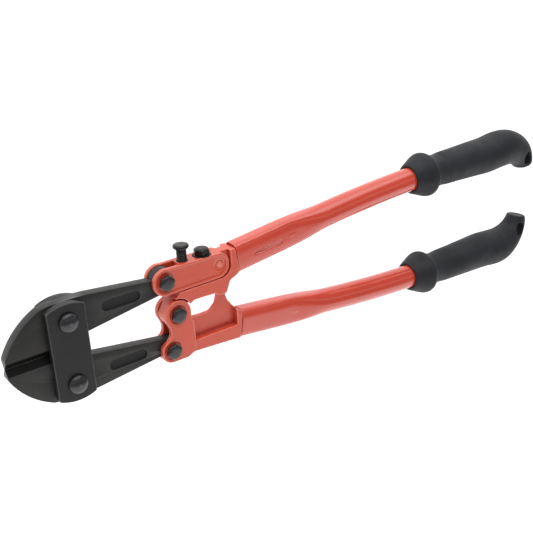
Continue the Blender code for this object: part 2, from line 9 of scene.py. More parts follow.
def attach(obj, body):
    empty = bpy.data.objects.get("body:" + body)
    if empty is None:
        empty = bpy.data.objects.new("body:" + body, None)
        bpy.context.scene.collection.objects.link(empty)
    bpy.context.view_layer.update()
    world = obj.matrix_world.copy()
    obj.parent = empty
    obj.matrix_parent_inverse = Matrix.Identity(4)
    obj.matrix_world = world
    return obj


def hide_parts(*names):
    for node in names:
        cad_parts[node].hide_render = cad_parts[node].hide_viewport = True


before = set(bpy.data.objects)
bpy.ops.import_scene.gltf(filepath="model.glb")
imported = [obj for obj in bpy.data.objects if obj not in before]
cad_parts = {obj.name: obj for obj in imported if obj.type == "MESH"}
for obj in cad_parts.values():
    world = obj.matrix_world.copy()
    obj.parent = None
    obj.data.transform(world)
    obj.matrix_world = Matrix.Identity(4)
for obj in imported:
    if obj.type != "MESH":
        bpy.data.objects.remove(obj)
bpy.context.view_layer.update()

# The tool's own frame: x from the jaw bolts to the grips, y to the adjuster's side, z out of the flat side,
# in millimetres from the point midway between the jaw bolts. Meshes are made there and moved at the end.
MM = 0.001
FLOOR_DEPTH = 16.5
SHIFT = Vector((-186.0, 0.0, FLOOR_DEPTH))
GAP = 0.3

# Pivots
JAW_PIVOT = (0.0, 20.7)
REAR_PIVOT = (67.1, 24.0)
LOWER_REAR = (67.1, -24.0)
CENTRE_PIVOT = (73.0, 0.0)
SADDLE_PIVOT = (106.7, 24.6)

# Half thicknesses, out from the tool's middle plane
JAW_HALF = 3.4
STRAP_IN = 3.7
STRAP_OUT = 8.7
CORE_HALF = 3.3
EAR_IN = 3.7
EAR_OUT = 6.9
SADDLE_OUT = 6.4
WEB_HALF = 1.8

# Fasteners
JAW_SHANK = 4.0
JAW_BORE = 4.3
DOME_RADIUS = 6.1
DOME_HEIGHT = 4.0
JAW_NUT_ACROSS = 12.0
JAW_NUT_HEIGHT = 6.2
REAR_SHANK = 2.8
REAR_BORE = 3.1
REAR_ACROSS = 9.6
REAR_HEAD_HEIGHT = 2.8
REAR_NUT_HEIGHT = 3.0
SADDLE_BOLT_ROOM = 6.2
LOCK_ACROSS = 9.4
LOCK_HEIGHT = 4.2
WASHER_THICKNESS = 0.9
SCREW_RADIUS = 3.4
RIVET_BORE = 2.8

# Saddle and castings
SADDLE_TOP = 32.7
WEB_END_X = 104.5
LOCK_RECESS = 1.3
SCREW_X = 83.0
LOCK_X = 97.5
SCREW_TOP = 43.6
SEAM_X = 120.6

# Tubes: flattened from the seam, round further back, then bent in a long curve
TUBE_RADIUS = 8.8
TUBE_WALL = 1.3
TUBE_END_X = 392.0
FLAT_HEIGHT = 10.1
FLAT_DEPTH = 6.7
FLAT_END_X = 160.0
ROUND_START_X = 196.0
SEAM_LINE_Y = 23.7
TUBE_SLOPE = 0.119
BEND_LENGTH = 128.0

# Grips
HOOK_START_X = 372.0
HOOK_MIDDLE_X = 396.0
HOOK_TURN = 62.0
LOWER_HOOK_SHORTFALL = 3.7


# ---------------------------------------------------------------- outlines

def arc(centre, radius, start, end, step=5.0):
    sweep = end - start
    count = max(2, math.ceil(abs(sweep) / step))
    points = []
    for i in range(count + 1):
        a = math.radians(start + sweep * i / count)
        points.append((centre[0] + radius * math.cos(a), centre[1] + radius * math.sin(a)))
    return points


def ring(centre, radius):
    return arc(centre, radius, 0, 360)[:-1]


def rounded(corners):
    """Outline through corners (x, y) or (x, y, radius), each radius a tangent arc in steps of 8 degrees."""
    points = []
    count = len(corners)
    for i, corner in enumerate(corners):
        here = Vector(corner[:2])
        if len(corner) == 2:
            points.append(tuple(here))
            continue
        before = (Vector(corners[i - 1][:2]) - here).normalized()
        after = (Vector(corners[(i + 1) % count][:2]) - here).normalized()
        half = before.angle(after) / 2
        reach = corner[2] / math.tan(half)
        centre = here + (before + after).normalized() * (corner[2] / math.sin(half))
        first = here + before * reach - centre
        turn = -first.angle_signed(here + after * reach - centre)
        steps = max(1, math.ceil(abs(math.degrees(turn)) / 8.0))
        for k in range(steps + 1):
            points.append(tuple(centre + Matrix.Rotation(turn * k / steps, 2) @ first))
    return points


# ---------------------------------------------------------------- mesh tools, all in millimetres

def link(name, mesh):
    piece = bpy.data.objects.new(name, mesh)
    bpy.context.scene.collection.objects.link(piece)
    return piece


def bake(piece):
    """Apply a piece's modifiers."""
    bpy.context.view_layer.update()
    graph = bpy.context.evaluated_depsgraph_get()
    mesh = bpy.data.meshes.new_from_object(piece.evaluated_get(graph))
    piece.modifiers.clear()
    piece.data = mesh
    return piece


def drop(pieces):
    for piece in pieces:
        bpy.data.objects.remove(piece, do_unlink=True)


def plate(name, loops, low, high):
    """Flat piece between two heights; the first loop is its outline and the others are holes."""
    curve = bpy.data.curves.new(name, "CURVE")
    curve.dimensions = "2D"
    curve.fill_mode = "BOTH"
    curve.extrude = (high - low) / 2
    for loop in loops:
        spline = curve.splines.new("POLY")
        spline.points.add(len(loop) - 1)
        spline.use_cyclic_u = True
        for point, (x, y) in zip(spline.points, loop):
            point.co = (x, y, 0.0, 1.0)
    draft = link(name + "_draft", curve)
    bpy.context.view_layer.update()
    mesh = bpy.data.meshes.new_from_object(draft.evaluated_get(bpy.context.evaluated_depsgraph_get()))
    mesh.transform(Matrix.Translation((0, 0, (high + low) / 2)))
    drop([draft])
    work = bmesh.new()
    work.from_mesh(mesh)
    bmesh.ops.remove_doubles(work, verts=work.verts, dist=0.002)
    bmesh.ops.dissolve_limit(work, angle_limit=0.001, verts=work.verts, edges=work.edges)
    bmesh.ops.recalc_face_normals(work, faces=work.faces)
    work.to_mesh(mesh)
    work.free()
    return link(name, mesh)


def both_faces(name, loops, inner, outer):
    """The same plate on both sides of the middle plane."""
    return [plate(name + "_f", loops, inner, outer), plate(name + "_b", loops, -outer, -inner)]


def grid(name, rows, closed=False):
    """Skin over rows of points, each a ring; closed joins the last row to the first, else both are capped."""
    work = bmesh.new()
    made = [[work.verts.new(p) for p in row] for row in rows]
    pairs = list(zip(made, made[1:]))
    if closed:
        pairs.append((made[-1], made[0]))
    for near, far in pairs:
        for i in range(len(near)):
            j = (i + 1) % len(near)
            work.faces.new((near[i], near[j], far[j], far[i]))
    if not closed:
        work.faces.new(made[0][::-1])
        work.faces.new(made[-1])
    bmesh.ops.recalc_face_normals(work, faces=work.faces)
    mesh = bpy.data.meshes.new(name)
    work.to_mesh(mesh)
    work.free()
    return link(name, mesh)


def about(radius, angle, height, centre, axis):
    """Point at a radius and height about a line through the centre, along +z or +y."""
    p = Vector((radius * math.cos(angle), radius * math.sin(angle), height))
    if axis == "Y":
        p = Vector((p.x, p.z, -p.y))
    return p + Vector(centre)


def turned(name, profile, centre=(0, 0, 0), axis="Z", count=96):
    """Solid of revolution from (radius, height) pairs, in order from one end to the other."""
    turns = [2 * math.pi * i / count for i in range(count)]
    return grid(name, [[about(max(r, 1e-4), a, h, centre, axis) for a in turns] for r, h in profile])


def threaded(name, radius, depth, pitch, low, high, centre=(0, 0, 0), axis="Z"):
    """Threaded rod: a V thread cut into the radius, with a tapered lead at the low end."""
    count = 48
    rows = []
    steps = max(8, int((high - low) / pitch * 10))
    for k in range(steps + 1):
        h = low + (high - low) * k / steps
        lead = min(1.0, (h - low) / (0.6 * pitch))
        row = []
        for i in range(count):
            phase = (h / pitch - i / count) % 1.0
            v = abs(phase * 2 - 1)
            r = radius - depth * min(1.0, max(0.0, (v - 0.12) / 0.76))
            row.append(about(r * (0.84 + 0.16 * lead), 2 * math.pi * i / count, h, centre, axis))
        rows.append(row)
    return grid(name, rows)


def combine(base, tools, operation="DIFFERENCE"):
    """Apply Booleans to a piece and remove the tools."""
    for tool in tools:
        step = base.modifiers.new("b", "BOOLEAN")
        step.operation = operation
        step.solver = "EXACT"
        step.object = tool
        step.material_mode = "TRANSFER"
    bake(base)
    drop(tools)
    return base


def bevel(piece, width, segments=3, angle=35):
    edge = piece.modifiers.new("edges", "BEVEL")
    edge.width = width
    edge.segments = segments
    edge.limit_method = "ANGLE"
    edge.angle_limit = math.radians(angle)
    edge.use_clamp_overlap = True
    return bake(piece)


def soften(piece, voxel, rounds):
    """Cast or moulded look: even mesh with every edge and corner eased."""
    skin = piece.modifiers.new("voxels", "REMESH")
    skin.mode = "VOXEL"
    skin.voxel_size = voxel
    skin.use_smooth_shade = True
    smooth = piece.modifiers.new("smooth", "SMOOTH")
    smooth.factor = 0.5
    smooth.iterations = rounds
    bake(piece)
    piece.data.shade_smooth()
    return piece


def crisp(piece, angle):
    """Smooth shading that breaks at edges sharper than the angle."""
    piece.data.shade_smooth()
    piece.data.set_sharp_from_angle(angle=math.radians(angle))
    return piece


def give(piece, material):
    piece.data.materials.clear()
    piece.data.materials.append(material)
    return piece


def settle(piece, body, slot, *nodes):
    """Move a finished piece to its place in the row frame and hang it on its body."""
    piece.data.transform(Matrix.Scale(MM, 4) @ Matrix.Translation(SHIFT))
    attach(piece, body)
    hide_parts(*nodes)
    return piece


# ---------------------------------------------------------------- materials

def shader(name):
    material = bpy.data.materials.new(name)
    material.use_nodes = True
    tree = material.node_tree
    return material, tree, tree.nodes["Principled BSDF"]


def node(tree, kind, **values):
    made = tree.nodes.new(kind)
    for key, value in values.items():
        if key in made.inputs:
            made.inputs[key].default_value = value
        else:
            setattr(made, key, value)
    return made


def noise(tree, scale, detail=3.0, roughness=0.55, stretch=None):
    """Noise in the object's own coordinates, per metre."""
    where = node(tree, "ShaderNodeTexCoord")
    source = where.outputs["Object"]
    if stretch:
        mapping = node(tree, "ShaderNodeMapping")
        mapping.inputs["Scale"].default_value = stretch
        tree.links.new(source, mapping.inputs["Vector"])
        source = mapping.outputs["Vector"]
    made = node(tree, "ShaderNodeTexNoise", Scale=scale, Detail=detail, Roughness=roughness)
    tree.links.new(source, made.inputs["Vector"])
    return made.outputs["Fac"]


def grey(tree, value, stops):
    """Colour ramp of greys from (position, level) stops."""
    made = node(tree, "ShaderNodeValToRGB")
    elements = made.color_ramp.elements
    while len(elements) < len(stops):
        elements.new(0.5)
    for element, (position, level) in zip(elements, stops):
        element.position = position
        element.color = (level, level, level, 1.0)
    tree.links.new(value, made.inputs["Fac"])
    return made.outputs["Color"]


def spread(tree, scale, low, high, detail=3.0):
    """Noise that varies a value between two levels."""
    return grey(tree, noise(tree, scale, detail), [(0.3, low), (0.7, high)])


def blend(tree, factor, first, second):
    """Mix two colours, each a socket or an RGB triple."""
    made = node(tree, "ShaderNodeMix", data_type="RGBA")
    tree.links.new(factor, made.inputs[0])
    for socket, value in ((made.inputs[6], first), (made.inputs[7], second)):
        if isinstance(value, bpy.types.NodeSocket):
            tree.links.new(value, socket)
        else:
            socket.default_value = (*value, 1.0)
    return made.outputs[2]


def bumps(tree, shade, layers):
    """Stack bump layers given as (height socket, strength, distance in metres)."""
    last = None
    for height, strength, distance in layers:
        made = node(tree, "ShaderNodeBump", Strength=strength, Distance=distance)
        tree.links.new(height, made.inputs["Height"])
        if last:
            tree.links.new(last, made.inputs["Normal"])
        last = made.outputs["Normal"]
    tree.links.new(last, shade.inputs["Normal"])


def edges(tree):
    """Above one half on ridges, below it in hollows."""
    return node(tree, "ShaderNodeNewGeometry").outputs["Pointiness"]


def enamel(name, base, rough, coat, coat_rough):
    """Red-orange enamel, evenly glossy; returns the material with its tree, shader and colour socket."""
    material, tree, shade = shader(name)
    colour = blend(tree, spread(tree, 38.0, 0.0, 1.0, 4.0), base, [c * 0.93 for c in base])
    tree.links.new(spread(tree, 260.0, *rough), shade.inputs["Roughness"])
    shade.inputs["Coat Weight"].default_value = coat
    shade.inputs["Coat Roughness"].default_value = coat_rough
    return material, tree, shade, colour


def cast_enamel():
    """Enamel over a rough casting: pebbled, with painted shade darkening the hollows and a painted highlight
    paling the ridges.
    """
    material, tree, shade, colour = enamel("cast_enamel", (0.67, 0.077, 0.034), (0.28, 0.40), 0.25, 0.14)
    # Painted shade: the hollows darken towards a deep red.
    painted_shade = grey(tree, edges(tree), [(0.472, 1.0), (0.499, 0.0)])
    colour = blend(tree, painted_shade, colour, (0.30, 0.017, 0.010))
    # Painted highlight: the ridges pale towards a light pink.
    painted_highlight = grey(tree, edges(tree), [(0.5012, 0.0), (0.528, 0.85)])
    colour = blend(tree, painted_highlight, colour, (0.80, 0.190, 0.130))
    tree.links.new(colour, shade.inputs["Base Color"])
    bumps(tree, shade, [(noise(tree, 900.0, 4.0), 0.45, 0.00013), (noise(tree, 180.0), 0.42, 0.0005)])
    return material


def tube_enamel():
    """Enamel over drawn tube: smooth, with a clear coat and a faint waviness."""
    material, tree, shade, colour = enamel("tube_enamel", (0.66, 0.066, 0.034), (0.15, 0.22), 0.55, 0.07)
    tree.links.new(colour, shade.inputs["Base Color"])
    bumps(tree, shade, [(noise(tree, 500.0, 2.0), 0.04, 0.0001), (noise(tree, 70.0, 2.0), 0.08, 0.0006)])
    return material


def black_steel(name, base, rough, shine, highlight_gain, tint=(0.0, 0.0, 0.0), grain=None, highlight_range=(0.535, 0.61)):
    """Blackened steel: mottled oxide, with a painted highlight on the ridges brighter by the gain, or ground
    along a grain.
    """
    material, tree, shade = shader(name)
    cloud = grey(tree, noise(tree, 55.0, 5.0), [(0.32, 0.0), (0.72, 1.0)])
    colour = blend(tree, cloud, base, [c * 1.25 + t for c, t in zip(base, tint)])
    # Painted highlight on the ridges: the base colour raised by the gain.
    painted_highlight = grey(tree, edges(tree), [(highlight_range[0], 0.0), (highlight_range[1], 1.0)])
    colour = blend(tree, painted_highlight, colour, [c * highlight_gain for c in base])
    tree.links.new(colour, shade.inputs["Base Color"])
    tree.links.new(spread(tree, 330.0, *rough), shade.inputs["Roughness"])
    shade.inputs["Specular IOR Level"].default_value = shine
    layers = [(noise(tree, 1100.0), 0.25, 0.00008), (noise(tree, 160.0), 0.16, 0.0003)]
    if grain:
        layers.append((noise(tree, 900.0, 2.0, stretch=grain), 0.12, 0.00006))
    bumps(tree, shade, layers)
    return material


def rubber():
    """Matte charcoal rubber, faintly cloudy."""
    material, tree, shade = shader("grip_rubber")
    cloud = grey(tree, noise(tree, 42.0, 4.0, 0.6), [(0.3, 0.0), (0.7, 1.0)])
    colour = blend(tree, cloud, (0.0120, 0.0130, 0.0160), (0.0260, 0.0275, 0.0325))
    tree.links.new(colour, shade.inputs["Base Color"])
    tree.links.new(spread(tree, 120.0, 0.55, 0.68), shade.inputs["Roughness"])
    shade.inputs["Specular IOR Level"].default_value = 0.30
    bumps(tree, shade, [(noise(tree, 1500.0, 2.0), 0.25, 0.0001), (noise(tree, 90.0), 0.15, 0.0006)])
    return material


BROWN = (0.003, 0.001, 0.0)

CAST_RED = cast_enamel()
TUBE_RED = tube_enamel()
# The fifth argument of each steel is the gain of its painted highlight on the ridges.
FORGED = black_steel("forged_steel", (0.021, 0.021, 0.0205), (0.36, 0.48), 0.28, 5.0, (0.004, 0.002, 0.001))
# Near-black steel on the ground bevels: painted shade for the dark groove between the closed jaws.
GROUND_SHADE = black_steel("ground_bevel_shade", (0.005, 0.005, 0.0045), (0.24, 0.32), 0.12, 3.0, grain=(0.1, 1, 1))
# Darker, rougher steel for the sunk panels on the jaw arms: painted shade in the recess.
RECESS_SHADE = black_steel("recess_steel_shade", (0.012, 0.012, 0.012), (0.50, 0.60), 0.25, 3.0)
STRAP = black_steel("strap_steel", (0.015, 0.015, 0.015), (0.30, 0.42), 0.25, 11.0, highlight_range=(0.512, 0.565))
BOLT = black_steel("black_oxide", (0.015, 0.0165, 0.019), (0.22, 0.34), 0.55, 6.0, BROWN)
DARK_BOLT = black_steel("dark_oxide", (0.006, 0.006, 0.006), (0.22, 0.34), 0.28, 8.0, BROWN)
RUBBER = rubber()


# ---------------------------------------------------------------- jaws and straps

def jaw_outline():
    """Blade edge, round back, straight arm, tail eye and the arm's lower side."""
    points = [(-39.0, 0.15)]
    points += arc((7.6, -15.5), 51.3, 155, 115, 2.0)
    points += [(-8.0, 32.0), (6.0, 32.2), (15.0, 31.8), (59.3, 26.7)]
    points += arc(REAR_PIVOT, 8.3, 152, -96)
    points += [(65.0, 15.8), (13.8, 8.1), (-5.0, 0.15)]
    return points


def grinder(face):
    """Wedge that leaves a ground bevel from the cutting edge up to one face."""
    edge_y = 0.15
    edge_half = 0.4
    slope = 3.0 / 4.25
    start = -1.05
    stop = 6.5
    low = (edge_half + (start - edge_y) * slope) * face
    high = (edge_half + (stop - edge_y) * slope) * face
    rows = [[(x, start, low), (x, stop, high), (x, start, high)] for x in (-42.0, -10.0)]
    # The wedge leaves its near-black bevel steel, painted shade, on the faces it cuts.
    return give(grid("grinder", rows), GROUND_SHADE)


def mirror_y(piece):
    """Turn an upper piece into its lower twin."""
    piece.data.transform(Matrix.Scale(-1, 4, (0, 1, 0)))
    piece.data.flip_normals()
    return piece


def jaw(name, side, tail_bore):
    """Forged jaw, ground on both faces, with a sunk panel along the arm."""
    loops = [jaw_outline(), ring(JAW_PIVOT, JAW_BORE), ring(REAR_PIVOT, tail_bore)]
    piece = plate(name, loops, -JAW_HALF, JAW_HALF)
    bevel(piece, 0.6)
    give(piece, FORGED)
    panel_y = 20.4
    panel_radius = 3.6
    panel_depth = 0.95
    panel = arc((46.4, panel_y), panel_radius, -90, 90) + arc((27.6, panel_y), panel_radius, 90, 270)
    tools = []
    for sign in (1, -1):
        low, high = sorted((sign * (JAW_HALF - panel_depth), sign * (JAW_HALF + 1.2)))
        # The sunk panel is cut with the darker recess steel, painted shade.
        tools.append(give(bevel(plate("recess", [panel], low, high), 0.5), RECESS_SHADE))
        tools.append(grinder(sign))
    combine(piece, tools)
    if side < 0:
        mirror_y(piece)
    return crisp(piece, 28)


def strap(name, low, high):
    """Side plate with straight sides and round ends, over both jaw bolts."""
    left = -12.8
    right = 11.7
    end_radius = 27.0
    start = math.degrees(math.acos(right / end_radius))
    stop = math.degrees(math.acos(left / end_radius))
    top = arc((0.0, 5.4), end_radius, start, stop, 3.0)
    bottom = [(x, -y) for x, y in reversed(top)]
    piece = plate(name, [top + bottom], low, high)
    bevel(piece, 0.6)
    bores = [plate("bore", [ring((0.0, JAW_PIVOT[1] * s), JAW_BORE)], low - 1, high + 1) for s in (1, -1)]
    combine(piece, bores)
    soften(piece, 0.3, 3)
    return give(piece, STRAP)


# ---------------------------------------------------------------- fasteners

def jaw_bolt(name, centre):
    """Domed head on a plain shank with a threaded end."""
    base = STRAP_OUT + GAP
    rim = 0.6
    plain_end = -14.9
    profile = [(0.0, base + DOME_HEIGHT)]
    for degrees in range(6, 91, 6):
        a = math.radians(degrees)
        profile.append((DOME_RADIUS * math.sin(a), base + rim + (DOME_HEIGHT - rim) * math.cos(a)))
    profile += [(DOME_RADIUS, base + 0.25), (DOME_RADIUS - 0.25, base)]
    profile += [(JAW_SHANK, base), (JAW_SHANK, plain_end), (0.0, plain_end)]
    place = (*centre, 0.0)
    head = turned(name, profile, place)
    thread = threaded("thread", JAW_SHANK, 0.5, 1.25, -FLOOR_DEPTH, plain_end + 0.2, place)
    combine(head, [thread], "UNION")
    return crisp(give(head, BOLT), 40)


def hexagon(across, centre, turn):
    """Corners of a hexagon by its width across flats, turned by some degrees."""
    corner = across / 2 / math.cos(math.radians(30))
    return [
        (centre[0] + corner * math.cos(math.radians(60 * i + turn)),
         centre[1] + corner * math.sin(math.radians(60 * i + turn)))
        for i in range(6)
    ]


def hex_head(name, across, base, height, centre, turn):
    """Hexagon with its top corners turned down, a slightly crowned face and soft edges."""
    corner = across / 2 / math.cos(math.radians(30))
    top = base + height
    body = plate(name, [hexagon(across, centre, turn)], base, top)
    crown = [
        (0.0, top), (across * 0.25, top - 0.05), (across * 0.38, top - 0.16), (across / 2 - 0.35, top - 0.45),
        (corner + 0.1, top - 1.5), (corner + 0.3, base - 1.0), (0.0, base - 1.0),
    ]
    combine(body, [turned("crown", crown, (*centre, 0.0))], "INTERSECT")
    return soften(body, 0.2, 4)


def rod(radius, low, high, centre=(0, 0, 0)):
    return turned("rod", [(0.0, high), (radius, high), (radius, low), (0.0, low)], centre, count=48)


def rear_bolt(name, centre, face):
    """Hexagon bolt through the ears whose outer face is given, threaded past its nut."""
    place = (*centre, 0.0)
    base = face + GAP
    end = -face - GAP - REAR_NUT_HEIGHT - 0.6
    head = hex_head(name, REAR_ACROSS, base, REAR_HEAD_HEIGHT, centre, 12)
    combine(head, [rod(REAR_SHANK, end + 1.4, base + 0.4, place)], "UNION")
    combine(head, [threaded("thread", REAR_SHANK, 0.4, 1.0, end, end + 1.6, place)], "UNION")
    return crisp(give(head, BOLT), 40)


def hex_nut(name, centre, across, bore, top, height):
    """Nut with both faces turned to a washer edge and a chamfered bore."""
    place = (*centre, 0.0)
    low = top - height
    corner = across / 2 / math.cos(math.radians(30)) + 0.25
    flat = across / 2 - 0.1
    body = plate(name, [hexagon(across, centre, 18)], low, top)
    lathe = [
        (0.0, top + 1), (flat, top + 1), (flat, top), (corner, top - 0.95),
        (corner, low + 0.95), (flat, low), (flat, low - 1), (0.0, low - 1),
    ]
    combine(body, [turned("lathe", lathe, place)], "INTERSECT")
    mouth = bore + 0.5
    hole = [
        (0.0, top + 1), (mouth, top + 1), (mouth, top), (bore, top - 0.5),
        (bore, low + 0.5), (mouth, low), (mouth, low - 1), (0.0, low - 1),
    ]
    combine(body, [turned("hole", hole, place, count=64)])
    bevel(body, 0.15, 2, 25)
    return crisp(give(body, BOLT), 30)


# ---------------------------------------------------------------- handle heads

def tube_line(x):
    """The tube's middle line: straight from the seam, then bending over to run level."""
    bent = min(max(x - ROUND_START_X, 0.0), BEND_LENGTH)
    straight = min(x, ROUND_START_X) - SEAM_X
    return SEAM_LINE_Y + TUBE_SLOPE * (straight + bent - bent ** 2 / (2 * BEND_LENGTH))


def section(x, high, deep, power, side, count):
    """Rounded section across the handle at x, evenly spread in angle; higher powers are squarer."""
    tilt = tube_line(x + 0.5) - tube_line(x - 0.5)
    scale = math.sqrt(1 + tilt * tilt)
    points = []
    for i in range(count):
        a = 2 * math.pi * i / count
        c = math.cos(a)
        s = math.sin(a)
        r = ((abs(c) / high) ** power + (abs(s) / deep) ** power) ** (-1.0 / power)
        up = r * c
        points.append((x - up * tilt / scale, (tube_line(x) + up / scale) * side, r * s))
    return points


def collar_limit(side):
    """Volume that eases a casting's collar into the tube's rounded section at the seam."""
    stations = (
        (60.0, 60, 30, 8), (112.0, 30, 12, 8), (116.0, 12.0, 7.4, 6), (SEAM_X + 1.2, 10.0, 6.6, 4.4),
    )
    return grid("collar_limit", [section(*station, side, 64) for station in stations])


def plug(side):
    """Tongue of a casting inside its tube."""
    return grid("plug", [section(x, 8.4, 5.1, 4, side, 40) for x in (SEAM_X - 4, SEAM_X + 3)])


def upper_casting():
    """Casting under the saddle: centre eye, neck, core between the saddle's walls, stop lug, collar."""
    core_top = SADDLE_TOP - 4.1
    rear_top = 32.2
    corners = [
        (80.8, core_top, 1.5), (WEB_END_X + 0.4, core_top), (WEB_END_X + 0.4, rear_top, 0.5),
        (SEAM_X - 1.6, rear_top), (SEAM_X + 1.0, 14.6),
        (113.4, 11.4, 3), (110.6, 4.2, 1.2), (108.6, 3.1, 0.8), (104.0, 3.4, 0.8),
        (101.2, 5.8, 2), (85.5, 6.2, 3), (81.2, 3.2, 1.5),
    ]
    eye = arc(CENTRE_PIVOT, 9.0, -6, -190)
    neck = [(68.2, 8.4, 2), (74.6, 12.4, 3), (78.9, 20.0), (79.2, 25.0)]
    piece = plate("upper_casting_shell", [rounded(corners + eye + neck)], -FLAT_DEPTH, FLAT_DEPTH)
    room = rounded([(50.0, 14.5), (115.2, 14.5, 8), (115.2, 45.0), (50.0, 45.0)])
    tools = both_faces("room", [room], CORE_HALF, 12)
    tools += both_faces("ear_room", [ring(CENTRE_PIVOT, 10.6)], CORE_HALF, 12)
    combine(piece, tools)
    combine(piece, [collar_limit(1)], "INTERSECT")
    combine(piece, [plug(1)], "UNION")
    bores = [plate("bore", [ring(CENTRE_PIVOT, REAR_BORE)], -9, 9)]
    bores.append(plate("bore", [ring(SADDLE_PIVOT, RIVET_BORE)], -9, 9))
    bores.append(along_y("lock_bore", LOCK_X, core_top, [(3.3, 12.0)]))
    combine(piece, bores)
    soften(piece, 0.35, 5)
    return give(piece, CAST_RED)


def lower_casting():
    """Casting with two pairs of ears, a thin web over a beam, and a collar."""
    ear_end = 84.2
    wall = 117.0
    beam_top = -22.5
    corners = [
        (83.0, -8.0, 2), (93.0, -8.7), (99.6, -8.6, 4), (104.4, -4.2, 3), (106.2, 3.0, 1.2),
        (111.0, 2.6, 1.2), (112.8, -3.8, 2), (117.4, -10.6, 3), (SEAM_X + 1.0, -14.2), (SEAM_X - 1.6, -32.8),
        (82.0, -30.3, 1), (77.6, -32.4, 2),
    ]
    tail_ear = arc(LOWER_REAR, 8.3, -95, -215)
    neck = [(66.6, -14.8, 6), (66.8, -9.6, 3)]
    centre_ear = arc(CENTRE_PIVOT, 9.5, -145, -370)
    piece = plate("lower_casting_shell", [rounded(corners + tail_ear + neck + centre_ear)], -EAR_OUT, EAR_OUT)
    pocket = rounded([(ear_end, 16.0), (ear_end, beam_top, 1.2), (wall, beam_top, 1.2), (wall, 16.0)])
    tools = both_faces("pocket", [pocket], WEB_HALF, 12)
    behind_ears = [(ear_end - 0.4, 20.0), (ear_end - 0.4, -50.0), (140.0, -50.0), (140.0, 20.0)]
    tools += both_faces("beam_face", [behind_ears], 6.5, 13)
    combine(piece, tools)
    tools = [
        plate("slot", [[(50.0, -45.0), (76.8, -45.0), (76.8, 15.0), (50.0, 15.0)]], -EAR_IN, EAR_IN),
        plate("eye_room", [ring(CENTRE_PIVOT, 10.0)], -EAR_IN + 0.01, EAR_IN - 0.01),
        plate("tail_room", [ring(LOWER_REAR, 9.6)], -EAR_IN + 0.02, EAR_IN - 0.02),
    ]
    combine(piece, tools)
    combine(piece, [collar_limit(-1)], "INTERSECT")
    combine(piece, [plug(-1)], "UNION")
    combine(piece, [plate("bore", [ring(c, REAR_BORE)], -12, 12) for c in (CENTRE_PIVOT, LOWER_REAR)])
    dishes = []
    for centre in (CENTRE_PIVOT, LOWER_REAR):
        dishes += both_faces("dish", [ring(centre, 6.3)], EAR_OUT - 0.5, 12)
    combine(piece, dishes)
    soften(piece, 0.35, 5)
    return give(piece, CAST_RED)


def along_y(name, x, top, steps):
    """Stepped hole sunk along -y at x: steps are (radius, depth) pairs."""
    profile = [(0.0, 1.0)]
    for radius, depth in steps:
        start = 1.0 if len(profile) == 1 else profile[-1][1]
        profile += [(radius, start), (radius, -depth)]
    profile.append((0.0, profile[-1][1]))
    return turned(name, profile, (x, top, 0.0), axis="Y", count=64)


def saddle():
    """Fork over the upper casting: two walls joined by a top web, dished round the bolt and the rivet."""
    corners = [(113.6, 15.4, 8), (113.6, SADDLE_TOP - 0.4, 7), (70.1, SADDLE_TOP)]
    outline = rounded(corners + arc(REAR_PIVOT, 9.0, 84, 262))
    piece = plate("saddle_shell", [outline], -SADDLE_OUT, SADDLE_OUT)
    low = SADDLE_TOP - 3.2
    core_room = [(50.0, 0.0), (130.0, 0.0), (130.0, low), (50.0, low)]
    tail_room = [(50.0, -1.0), (78.6, -1.0), (78.6, 50.0), (50.0, 50.0)]
    rear_room = [(WEB_END_X, -2.0), (131.0, -2.0), (131.0, 51.0), (WEB_END_X, 51.0)]
    tools = [
        plate("core_room", [core_room], -EAR_IN, EAR_IN),
        plate("tail_room", [tail_room], -EAR_IN + 0.01, EAR_IN - 0.01),
        plate("rear_room", [rear_room], -EAR_IN + 0.02, EAR_IN - 0.02),
        plate("tail_bore", [ring(REAR_PIVOT, REAR_BORE)], -12, 12),
        plate("rivet_bore", [ring(SADDLE_PIVOT, RIVET_BORE)], -12, 12),
        along_y("screw_bore", SCREW_X, SADDLE_TOP, [(3.7, 6)]),
        along_y("lock_bore", LOCK_X, SADDLE_TOP, [(6.2, LOCK_RECESS), (3.6, 6)]),
    ]
    combine(piece, tools)
    rivet_ring = ring((SADDLE_PIVOT[0] + 0.4, SADDLE_PIVOT[1]), 4.6)
    dishes = both_faces("tail_dish", [ring(REAR_PIVOT, 6.4)], SADDLE_OUT - 0.6, 12)
    dishes += both_faces("rivet_dish", [rivet_ring], SADDLE_OUT - 0.55, 12)
    inner = [(111.6, 17.4, 6), (111.6, SADDLE_TOP - 2.2, 5), (70.1, SADDLE_TOP - 1.8)]
    field = rounded(inner + arc(REAR_PIVOT, 7.3, 84, 262))
    dishes += both_faces("field", [field], SADDLE_OUT - 0.28, 13)
    combine(piece, dishes)
    soften(piece, 0.35, 4)
    return give(piece, CAST_RED)


def rivet():
    """Round-ended pin set just under the saddle's faces."""
    half = SADDLE_OUT - 0.1
    profile = [(0.0, half - 0.1), (1.5, half - 0.16), (2.2, half - 0.4), (2.5, half - 0.9)]
    profile += [(2.5, -half + 0.4), (2.1, -half), (0.0, -half)]
    piece = turned("rivet_head", profile, (*SADDLE_PIVOT, 0.0), count=48)
    return crisp(give(piece, CAST_RED), 40)


def adjusting_screw():
    """Flat round head, worn at the rim, on a threaded shank."""
    place = (SCREW_X, SADDLE_TOP, 0.0)
    top = SCREW_TOP - SADDLE_TOP
    outline = (
        (0.0, 0.1), (2.6, 0.02), (4.2, 0.1), (4.8, 0.35), (5.15, 0.8), (5.2, 1.3),
        (5.1, 1.9), (4.7, 2.4), (3.6, 2.6), (3.3, 3.1), (3.3, 3.6), (0.0, 3.6),
    )
    head = turned("screw_head", [(radius, top - down) for radius, down in outline], place, axis="Y")
    thread = threaded("thread", SCREW_RADIUS, 0.45, 1.25, -3.3, top - 3.3, place, axis="Y")
    combine(head, [thread], "UNION")
    return crisp(give(head, DARK_BOLT), 40)


